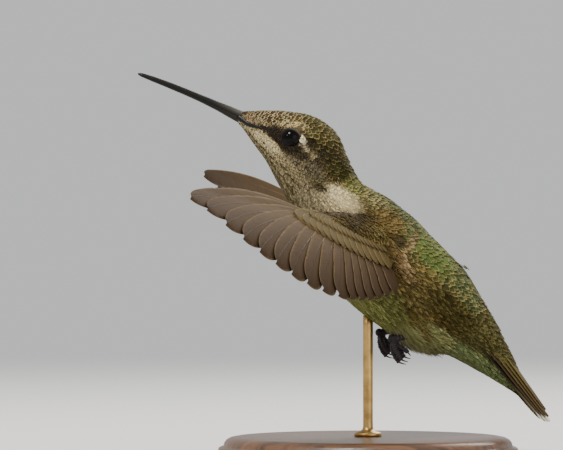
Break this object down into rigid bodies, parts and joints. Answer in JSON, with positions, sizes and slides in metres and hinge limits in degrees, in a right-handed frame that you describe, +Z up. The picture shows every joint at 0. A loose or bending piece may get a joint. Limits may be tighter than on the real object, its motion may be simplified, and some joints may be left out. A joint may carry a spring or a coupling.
{
  "type": "ruby-throated hummingbird display model",
  "caption": "Life-size hummingbird model held in hovering flight by a rod on a round wooden base.",
  "frame": {"origin": "centre of the flat underside of the stand's base, on the surface it rests on", "axes": "+Z up, the bird faces -X, its left side is -Y and the XZ plane is its middle plane"},
  "size_m": [0.0658, 0.0953, 0.0617],
  "materials": {
    "crown_feathers": "brown-olive feathers with buff edges, pale throat",
    "body_feathers": "bronze-green feathers with a faint metallic sheen, greyish buff below",
    "flight_feathers": "dusky brown feathers, satin",
    "tail_feathers": "bronze-green and blackish feathers with white tips on the outer ones",
    "bill_horn": "black horn, satin",
    "eye_glass": "glossy dark brown-black",
    "foot_skin": "dark grey scaly skin",
    "stand_wood": "dark turned wood, satin varnish",
    "stand_metal": "satin brass"
  },
  "bodies": {
    "root": {"head": "crown_feathers", "neck": "crown_feathers", "torso": "body_feathers", "wing_left": "flight_feathers", "wing_right": "flight_feathers", "tail": "tail_feathers", "bill": "bill_horn", "eye_left": "eye_glass", "eye_right": "eye_glass", "leg_left": "foot_skin", "leg_right": "foot_skin", "foot_left": "foot_skin", "foot_right": "foot_skin", "stand_base": "stand_wood", "stand_rod": "stand_metal"}
  },
  "joints": []
}
